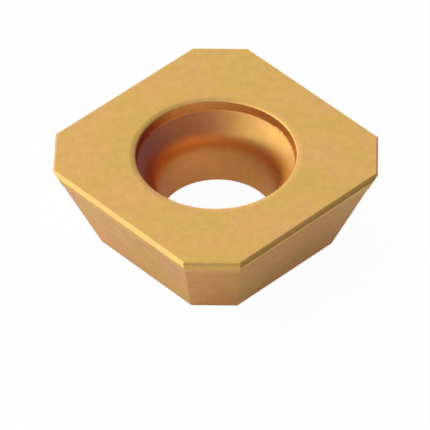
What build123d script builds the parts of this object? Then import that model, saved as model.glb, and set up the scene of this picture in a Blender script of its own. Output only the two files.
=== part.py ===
from build123d import *
from math import acos, cos, radians, sin, sqrt, tan
import os

# Square positive milling insert with four wiper facets, sintered and ground as one piece.
# Origin: centre of the seat face, on the screw hole's axis. +Z runs up to the rake face,
# and the four sides face +X, +Y, -X and -Y. Millimetres and degrees.

# Outline at the cutting edge
inscribed_circle = 12.70     # circle that touches the four sides
wiper_length = 2.65          # each wiper facet, along the cutting edge
thickness = 4.76             # seat face to rake face

# Flanks: a ground margin under the cutting edge, and the relieved flank below it
side_clearance = 20.0        # lean of the four sides from the axis
wiper_clearance = 25.0       # lean of the four wiper facets from the axis
margin_height = 1.00         # ground margin, along the axis
margin_step = 0.03           # how far the relieved flank lies inside the margin's plane

# Edges
edge_hone = 0.09             # radius that rounds the cutting edge
seat_edge_break = 0.06       # chamfer round the seat face

# Screw hole
bore_diameter = 5.50         # clearance for an M5 screw
head_diameter = 7.60         # wall of the screw head's recess
head_wall_depth = 0.62       # rake face to the top of the head's seat
head_seat_radius = 2.00      # bell-mouthed seat, tangent to the bore
head_corner_radius = 0.20    # rounding between the recess's wall and the seat
head_edge_radius = 0.08      # rounding at the top of the recess's wall
rim_width = 0.32             # soft roll-off from the rake face to the recess, across
rim_depth = 0.06             # soft roll-off from the rake face to the recess, down
relief_width = 0.72          # lead-in at the seat face, across
relief_height = 0.63         # lead-in at the seat face, along the axis

# Working allowances
grinding_stock = 1.0         # what the blank has to spare on each side
cut_overshoot = 1.0          # how far the hole's cutter runs past both faces


def flank_plane(azimuth, edge_reach, clearance, inset):
    """Plane that leans under the cutting edge, facing out at azimuth from +X.

    It runs past the honed edge just so far that the rounding ends at edge_reach.
    """
    turn, lean = radians(azimuth), radians(clearance)
    hone_loss = edge_hone * (tan(lean) + 1 / cos(lean) - 1)
    reach = edge_reach + hone_loss - inset
    on_edge = Vector(reach * cos(turn), reach * sin(turn), thickness)
    outward = Vector(cos(turn) * cos(lean), sin(turn) * cos(lean), -sin(lean))
    return Plane(on_edge, z_dir=outward)


def ground_slab(bottom, top, inset):
    """Layer of the insert between two heights, its sides inside the margin's planes by inset."""
    slab = extrude(Plane.XY.offset(bottom) * Rectangle(blank_width, blank_width), top - bottom)
    for quarter in range(4):
        side = flank_plane(90 * quarter, side_reach, side_clearance, inset)
        wiper = flank_plane(90 * quarter + 45, wiper_reach, wiper_clearance, inset)
        slab = split(slab, side, keep=Keep.BOTTOM)
        slab = split(slab, wiper, keep=Keep.BOTTOM)
    return slab


def round_corner(profile, corner, radius):
    """The profile with the corner that lies nearest to a point rounded."""
    return fillet(profile.vertices().sort_by_distance(corner)[0], radius)


def hole_cutter():
    """One turned form: soft rim, recess, bell-mouthed seat, bore and lead-in."""
    bore_radius, head_radius = bore_diameter / 2, head_diameter / 2
    rim_radius, relief_radius = head_radius + rim_width, bore_radius + relief_width
    seat_sweep = acos(1 - (head_radius - bore_radius) / head_seat_radius)
    seat_bottom = thickness - head_wall_depth - head_seat_radius * sin(seat_sweep)
    above, below = thickness + cut_overshoot, -cut_overshoot

    # Points down the profile, each as distance from the axis and height
    rim_start = (rim_radius, thickness)
    wall_top = (head_radius, thickness - rim_depth)
    seat_top = (head_radius, thickness - head_wall_depth)
    bore_top = (bore_radius, seat_bottom)
    bore_end = (bore_radius, relief_height)
    relief_end = (relief_radius, 0)

    outline = Curve() + [
        Polyline((0, below), (0, above), (rim_radius, above), rim_start),
        TangentArc(rim_start, wall_top, tangent=(-1, 0)),
        Line(wall_top, seat_top),
        TangentArc(bore_top, seat_top, tangent=(0, 1)),
        Polyline(bore_top, bore_end, relief_end, (relief_radius, below), (0, below)),
    ]
    profile = make_face(outline)
    profile = round_corner(profile, wall_top, head_edge_radius)
    profile = round_corner(profile, seat_top, head_corner_radius)
    return revolve(Plane.XZ * profile, Axis.Z)


# Distance from the axis to the cutting edge, at a side and at a wiper facet
side_reach = inscribed_circle / 2
wiper_reach = (inscribed_circle * sqrt(2) - wiper_length) / 2
blank_width = inscribed_circle + 2 * grinding_stock

margin = ground_slab(thickness - margin_height, thickness, 0)
flank = ground_slab(0, thickness - margin_height, margin_step)
blank = margin + flank

cutting_edges = blank.faces().sort_by(Axis.Z)[-1].edges()
blank = fillet(cutting_edges, edge_hone)
seat_edges = blank.faces().sort_by(Axis.Z)[0].edges()
blank = chamfer(seat_edges, seat_edge_break)

insert = blank - hole_cutter()
insert.label = "insert"
insert.color = Color(0.83, 0.66, 0.36)

os.makedirs("parts", exist_ok=True)
export_step(insert, "parts/insert.step")
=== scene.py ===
from math import cos, radians, sin

import bpy
from mathutils import Matrix, Vector


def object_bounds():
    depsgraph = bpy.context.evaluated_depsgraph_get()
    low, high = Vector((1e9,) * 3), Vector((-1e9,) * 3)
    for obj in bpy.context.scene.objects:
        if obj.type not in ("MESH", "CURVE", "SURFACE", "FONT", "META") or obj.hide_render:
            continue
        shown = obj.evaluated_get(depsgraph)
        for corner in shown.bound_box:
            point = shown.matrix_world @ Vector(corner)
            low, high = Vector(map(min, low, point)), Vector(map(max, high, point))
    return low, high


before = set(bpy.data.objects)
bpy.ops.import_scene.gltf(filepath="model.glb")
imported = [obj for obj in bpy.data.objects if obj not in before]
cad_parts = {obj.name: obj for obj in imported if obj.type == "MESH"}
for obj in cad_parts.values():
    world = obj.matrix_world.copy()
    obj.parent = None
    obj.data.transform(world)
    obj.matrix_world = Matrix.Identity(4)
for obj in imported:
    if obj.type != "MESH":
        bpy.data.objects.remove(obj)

# A gold coated square carbide insert in a white studio. The CAD node keeps its own shape:
# this script gives it its finish, the floor and world that light it, and the camera.

MM = 0.001
WHITE = (1, 1, 1, 1)

cad_low, cad_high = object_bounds()
rake_height = cad_high.z / MM        # the flat top face

# Where the finish changes, in millimetres from the seat face or from the hole's axis.
# A change is spread over its blend to both sides, apart from the hole's, which starts at the wall.
margin_bottom = rake_height - 1.00           # foot of the ground margin
margin_blend = 0.12
soft_edge_top = rake_height - 0.30           # the cutting edge's soft light fades from here
soft_edge_bottom = rake_height - 0.80        # to here
hole_radius = 3.80                           # the recess's wall
hole_blend = 0.12
rim_radius = 4.00                            # middle of the soft rim's outer edge
rim_blend = 0.20
wall_bottom = rake_height - 0.62             # foot of the recess's wall
wall_blend = 0.05
seat_bottom = rake_height - 1.50             # where the seat's tone gives way to the bore's
seat_blend = 0.45

# Camera: a long lens, well back, so the sides hardly converge
view_azimuth = 47.066
view_elevation = 42.314
view_roll = 0.852
camera_distance = 280.19 * MM
camera_lens = 493.07
clip_ratio = 100             # how many times nearer and further than the insert the camera sees
aim_point = Vector((0.5005, -0.5971, 1.5307)) * MM


def direction(azimuth, elevation):
    """Unit vector towards a place round the object. Azimuth 0 is -Y and 90 is +X."""
    a, e = radians(azimuth), radians(elevation)
    return Vector((sin(a) * cos(e), -cos(a) * cos(e), sin(e)))


def add_camera():
    data = bpy.data.cameras.new("camera")
    data.lens = camera_lens
    data.clip_start = camera_distance / clip_ratio
    data.clip_end = camera_distance * clip_ratio
    camera = bpy.data.objects.new("camera", data)
    back = direction(view_azimuth, view_elevation)
    turn = (-back).to_track_quat("-Z", "Y").to_matrix() @ Matrix.Rotation(radians(-view_roll), 3, "Z")
    camera.matrix_world = Matrix.Translation(aim_point + back * camera_distance) @ turn.to_4x4()
    bpy.context.scene.collection.objects.link(camera)
    bpy.context.scene.camera = camera


# ---- node helpers ----

class Nodes:
    """Short calls that add nodes to one tree. All but add return the output that matters."""

    def __init__(self, tree):
        self.tree = tree
        tree.nodes.clear()

    def add(self, kind, inputs=(), **settings):
        """New node. Its inputs are named or numbered, and each is a value or another's output."""
        node = self.tree.nodes.new(kind)
        for name, value in settings.items():
            setattr(node, name, value)
        for name, value in dict(inputs).items():
            if isinstance(value, bpy.types.NodeSocket):
                self.tree.links.new(value, node.inputs[name])
            else:
                node.inputs[name].default_value = value
        return node

    def math(self, operation, a, b=0.0):
        return self.add("ShaderNodeMath", {0: a, 1: b}, operation=operation).outputs[0]

    def vector(self, operation, a, b=(0, 0, 0), output="Vector"):
        return self.add("ShaderNodeVectorMath", {0: a, 1: b}, operation=operation).outputs[output]

    def same_in_all(self, number):
        """Vector or colour with one number in all its three parts."""
        return self.add("ShaderNodeCombineXYZ", {0: number, 1: number, 2: number}).outputs[0]

    def ramp(self, value, low, high, out_low=0.0, out_high=1.0):
        """Smooth step from out_low at low to out_high at high."""
        inputs = {"Value": value, "From Min": low, "From Max": high, "To Min": out_low, "To Max": out_high}
        return self.add("ShaderNodeMapRange", inputs, interpolation_type="SMOOTHSTEP").outputs["Result"]

    def blend_at(self, value, middle, blend):
        """Mask that is 0 below middle and 1 above it."""
        return self.ramp(value, middle - blend, middle + blend)

    def opposite(self, mask):
        return self.math("SUBTRACT", 1.0, mask)

    def mix(self, share, a, b):
        """Number a where share is 0 and b where it is 1."""
        inputs = {"Factor": share, "A": a, "B": b}
        return self.add("ShaderNodeMix", inputs, data_type="FLOAT").outputs["Result"]

    def mix_colour(self, share, a, b, blend="MIX"):
        """Colour a where share is 0 and b, or the two blended, where it is 1."""
        factor, colour_a, colour_b, result = 0, 6, 7, 2        # the mix node's colour sockets
        inputs = {factor: share, colour_a: a, colour_b: b}
        return self.add("ShaderNodeMix", inputs, data_type="RGBA", blend_type=blend).outputs[result]

    def tinted(self, share, colour, tint):
        """The colour, and where share is 1 that colour times the tint."""
        return self.mix_colour(share, colour, self.mix_colour(1.0, colour, tint, "MULTIPLY"))

    def noise(self, place, scale, detail=2.0):
        """Noise about 0.5. place is in millimetres and scale in lumps for each of them."""
        inputs = {"Vector": place, "Scale": scale, "Detail": detail}
        return self.add("ShaderNodeTexNoise", inputs).outputs["Fac"]


def new_material(name):
    material = bpy.data.materials.new(name)
    material.use_nodes = True
    return material, Nodes(material.node_tree)


# ---- the insert's finish and painted shade ----

rake_colour = (0.77, 0.487, 0.155, 1)
margin_colour = (0.80, 0.515, 0.165, 1)
flank_colour = (0.78, 0.522, 0.215, 1)
# Painted shade: the wiper facets are coloured darker than the flank
wiper_shaded_colour = (0.765, 0.465, 0.175, 1)
wall_colour = (0.88, 0.53, 0.17, 1)
bore_colour = (0.86, 0.46, 0.165, 1)
# Painted shade: darkens and greys the hole's soft rim
rim_painted_shade = (0.84, 0.82, 0.78, 1)

# Inside the hole, painted shade: the tone turns ruddier and then darker towards the side where the wall
# faces away from the key light. Each tone comes in over a range of the cosine of the angle from that side.
shaded_side = direction(-42, 0)
seat_colour = (0.68, 0.39, 0.115, 1)
ruddy_shade_colour = (0.74, 0.28, 0.11, 1)
ruddy_shade_range = (-0.6, 0.3)
dark_shade_colour = (0.50, 0.175, 0.14, 1)
dark_shade_range = (0.45, 0.95)

rake_roughness = 0.40
margin_roughness = 0.34
edge_roughness = 0.36
flank_roughness = 0.56
hole_roughness = 0.38
rough_spread = 0.03          # how much rougher or smoother the grain makes it
rough_range = (0.3, 0.7)

# The coating's tone drifts between the first two tints, with streaks of the third on the sides.
# Scales are in lumps for each millimetre, and ranges are of the noise, which lies about 0.5.
rosy_tint = (1.035, 0.995, 1.07, 1)
lime_tint = (0.98, 1.015, 0.88, 1)
drift_scale = 0.48
drift_range = (0.36, 0.64)
lilac_tint = (0.97, 0.87, 1.10, 1)
lilac_range = (0.45, 0.70)
mottle_scale = 1.9
mottle_depth = 0.05          # share by which the mottling and the grain darken or lighten the tone
mottle_range = (0.35, 0.65)
grain_scale = 9.0
grain_depth = 0.0016 * MM
line_scales = (0.5, 0.5, 11.0)        # grinding lines: long across the sides, fine up and down
line_depth = 0.0012 * MM

edge_lean = 1.35             # how far the normal leans up at the top of the margin, beside the hone
wiper_lean = 0.8             # the same on the wiper facets

# What the facing tells: the normal's Z on the rake, and its X times its Y on the wiper facets
upward_range = (0.4, 0.9)
diagonal_range = (0.15, 0.35)


class Zones:
    """Masks, 1 inside and 0 outside, for the places where the insert's finish or its painted shade
    differs.
    """

    def __init__(self, n, place):
        xyz = n.add("ShaderNodeSeparateXYZ", {0: place}).outputs
        across = n.add("ShaderNodeCombineXYZ", {"X": xyz["X"], "Y": xyz["Y"]}).outputs[0]
        radius = n.vector("LENGTH", across, output="Value")
        height = xyz["Z"]
        self.normal = n.add("ShaderNodeNewGeometry").outputs["Normal"]
        facing = n.add("ShaderNodeSeparateXYZ", {0: self.normal}).outputs
        upward = n.ramp(facing["Z"], *upward_range)
        diagonal = n.math("ABSOLUTE", n.math("MULTIPLY", facing["X"], facing["Y"]))
        self.wiper = n.ramp(diagonal, *diagonal_range)

        outside = n.ramp(radius, hole_radius, hole_radius + hole_blend)
        # The hole's soft rim, where shade is painted
        past_rim = n.blend_at(radius, rim_radius, rim_blend)
        self.rim = n.math("SUBTRACT", outside, n.math("MULTIPLY", outside, past_rim))
        self.wall = n.blend_at(height, wall_bottom, wall_blend)
        self.seat = n.blend_at(height, seat_bottom, seat_blend)
        # Painted shade: ruddier, then darker, towards the side where the wall faces away from the key
        # light
        towards_shaded = n.vector("DOT_PRODUCT", across, shaded_side, output="Value")
        from_shaded = n.math("DIVIDE", towards_shaded, radius)
        self.ruddy_shade = n.ramp(from_shaded, *ruddy_shade_range)
        self.dark_shade = n.ramp(from_shaded, *dark_shade_range)

        self.rake = n.math("MULTIPLY", upward, outside)
        self.side = n.math("MULTIPLY", outside, n.opposite(upward))
        high = n.blend_at(height, margin_bottom, margin_blend)
        self.margin = n.math("MULTIPLY", self.side, high)
        self.flank = n.math("MULTIPLY", self.side, n.opposite(high))
        self.soft_edge = n.ramp(height, soft_edge_bottom, soft_edge_top)


def coating_colour_and_painted_shade(n, zones, place, grain, lines):
    # Painted shade in the hole: ruddier, then darker, towards one side
    seat = n.mix_colour(zones.ruddy_shade, seat_colour, ruddy_shade_colour)
    recess = n.mix_colour(zones.wall, seat, wall_colour)
    recess = n.mix_colour(zones.dark_shade, recess, dark_shade_colour)
    # The wiper facets get their painted shade here
    flank = n.mix_colour(zones.wiper, flank_colour, wiper_shaded_colour)
    colour = n.mix_colour(zones.seat, bore_colour, recess)
    colour = n.mix_colour(zones.rake, colour, rake_colour)
    colour = n.mix_colour(zones.margin, colour, margin_colour)
    colour = n.mix_colour(zones.flank, colour, flank)

    drift = n.ramp(n.noise(place, drift_scale), *drift_range)
    colour = n.mix_colour(1.0, colour, n.mix_colour(drift, rosy_tint, lime_tint), "MULTIPLY")
    mottle = n.mix(0.5, n.noise(place, mottle_scale, detail=3.0), grain)
    shade = n.ramp(mottle, *mottle_range, 1 - mottle_depth, 1 + mottle_depth)
    colour = n.vector("MULTIPLY", colour, n.same_in_all(shade))
    streaks = n.math("MULTIPLY", zones.side, n.ramp(lines, *lilac_range))
    colour = n.tinted(streaks, colour, lilac_tint)
    # Painted shade on the hole's soft rim
    return n.tinted(zones.rim, colour, rim_painted_shade)


def coating_roughness(n, zones, grain):
    margin = n.mix(zones.soft_edge, margin_roughness, edge_roughness)
    rough = n.mix(zones.rake, hole_roughness, rake_roughness)
    rough = n.mix(zones.margin, rough, margin)
    rough = n.mix(zones.flank, rough, flank_roughness)
    return n.math("ADD", rough, n.ramp(grain, *rough_range, -rough_spread, rough_spread))


def coating_normal(n, zones, grain, lines):
    """The normal: leaning up beside the hone, grained off the margin and scored on the flank."""
    lean = n.math("MULTIPLY", zones.soft_edge, n.mix(zones.wiper, edge_lean, wiper_lean))
    lean = n.math("MULTIPLY", zones.margin, lean)
    upright = n.add("ShaderNodeCombineXYZ", {"Z": lean}).outputs[0]
    leaning = n.vector("NORMALIZE", n.vector("ADD", zones.normal, upright))
    unground = n.opposite(zones.margin)
    inputs = {"Height": grain, "Distance": grain_depth, "Strength": unground, "Normal": leaning}
    grained = n.add("ShaderNodeBump", inputs).outputs[0]
    inputs = {"Height": lines, "Distance": line_depth, "Strength": zones.flank, "Normal": grained}
    return n.add("ShaderNodeBump", inputs).outputs[0]


def coated_carbide():
    material, n = new_material("coated_carbide")
    metres = n.add("ShaderNodeTexCoord").outputs["Object"]
    place = n.add("ShaderNodeVectorMath", {0: metres, "Scale": 1 / MM}, operation="SCALE").outputs[0]
    zones = Zones(n, place)
    grain = n.noise(place, grain_scale, detail=4.0)
    lines = n.noise(n.vector("MULTIPLY", place, line_scales), 1.0, detail=3.0)
    inputs = {
        "Base Color": coating_colour_and_painted_shade(n, zones, place, grain, lines),
        "Roughness": coating_roughness(n, zones, grain),
        "Metallic": 1.0,
        "Normal": coating_normal(n, zones, grain, lines),
    }
    shader = n.add("ShaderNodeBsdfPrincipled", inputs)
    n.add("ShaderNodeOutputMaterial", {"Surface": shader.outputs[0]})
    return material


# ---- the studio ----

floor_width = 3.0
floor_gap = 0.02 * MM        # keeps the floor from flickering with the seat face
floor_white = 0.95
floor_seen = 0.965           # share of the floor's white that the camera sees whatever the shadow
floor_reflected = 0.12       # the same in the metal's reflections
sky_reflected = 0.17         # share of the white backdrop in the metal's reflections

room_colour = (1.0, 0.72, 0.67, 1)
room_light = 0.15

# The soft lights in the sky: the way towards each, its strength, and how tightly it gathers
key_light = (direction(view_azimuth - 122, 42.0), 1.82, 4.5)
side_light = (direction(view_azimuth - 55, 5.0), 1.2, 4.0)
back_light = (direction(view_azimuth + 180, 0.0), 2.0, 14.0)


def white_share(n, seen, reflected):
    """How much of the backdrop's white a ray meets: straight or through glass, and off metal."""
    path = n.add("ShaderNodeLightPath").outputs
    straight = n.math("MAXIMUM", path["Is Camera Ray"], path["Is Transmission Ray"])
    mirrored = n.math("MULTIPLY", path["Is Glossy Ray"], reflected)
    return n.math("ADD", n.math("MULTIPLY", straight, seen), mirrored)


def white_floor():
    """White that keeps a faint shadow, and that can be seen through from below."""
    material, n = new_material("floor")
    glow = white_share(n, floor_seen, floor_reflected)
    lit_share = n.math("MULTIPLY", n.opposite(glow), floor_white)
    lit = n.add("ShaderNodeBsdfDiffuse", {"Color": n.same_in_all(lit_share)}).outputs[0]
    shine = n.add("ShaderNodeEmission", {"Strength": glow}).outputs[0]
    top_side = n.add("ShaderNodeAddShader", {0: lit, 1: shine}).outputs[0]
    under_side = n.add("ShaderNodeBsdfTransparent").outputs[0]
    from_below = n.add("ShaderNodeNewGeometry").outputs["Backfacing"]
    surface = n.add("ShaderNodeMixShader", {0: from_below, 1: top_side, 2: under_side}).outputs[0]
    n.add("ShaderNodeOutputMaterial", {"Surface": surface})
    return material


def add_floor():
    half = floor_width / 2
    mesh = bpy.data.meshes.new("floor")
    corners = [(-half, -half, 0), (half, -half, 0), (half, half, 0), (-half, half, 0)]
    mesh.from_pydata(corners, [], [(0, 1, 2, 3)])
    mesh.materials.append(white_floor())
    floor = bpy.data.objects.new("floor", mesh)
    floor.location.z = cad_low.z - floor_gap
    bpy.context.scene.collection.objects.link(floor)


def soft_light(n, way, towards, strength, tightness):
    """A round soft light in the sky, brightest in one direction and fading around it."""
    along = n.vector("DOT_PRODUCT", way, towards, output="Value")
    fading = n.math("EXPONENT", n.math("MULTIPLY", n.math("SUBTRACT", along, 1.0), tightness))
    return n.math("MULTIPLY", fading, strength)


def add_world():
    world = bpy.data.worlds.new("studio")
    world.use_nodes = True
    bpy.context.scene.world = world
    n = Nodes(world.node_tree)
    way = n.add("ShaderNodeTexCoord").outputs["Generated"]
    lights = n.math("ADD", soft_light(n, way, *key_light), soft_light(n, way, *side_light))
    lights = n.math("ADD", lights, soft_light(n, way, *back_light))
    room = n.add("ShaderNodeBackground", {"Color": room_colour, "Strength": room_light}).outputs[0]
    sky = n.add("ShaderNodeBackground", {"Color": WHITE, "Strength": lights}).outputs[0]
    studio = n.add("ShaderNodeAddShader", {0: room, 1: sky}).outputs[0]
    backdrop = n.add("ShaderNodeBackground", {"Color": WHITE, "Strength": 1.0}).outputs[0]
    share = white_share(n, 1.0, sky_reflected)
    surface = n.add("ShaderNodeMixShader", {0: share, 1: studio, 2: backdrop}).outputs[0]
    n.add("ShaderNodeOutputWorld", {"Surface": surface})


add_camera()
add_floor()
add_world()

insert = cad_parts["insert"]
insert.data.materials.clear()
insert.data.materials.append(coated_carbide())

bpy.context.scene.view_settings.view_transform = "Standard"
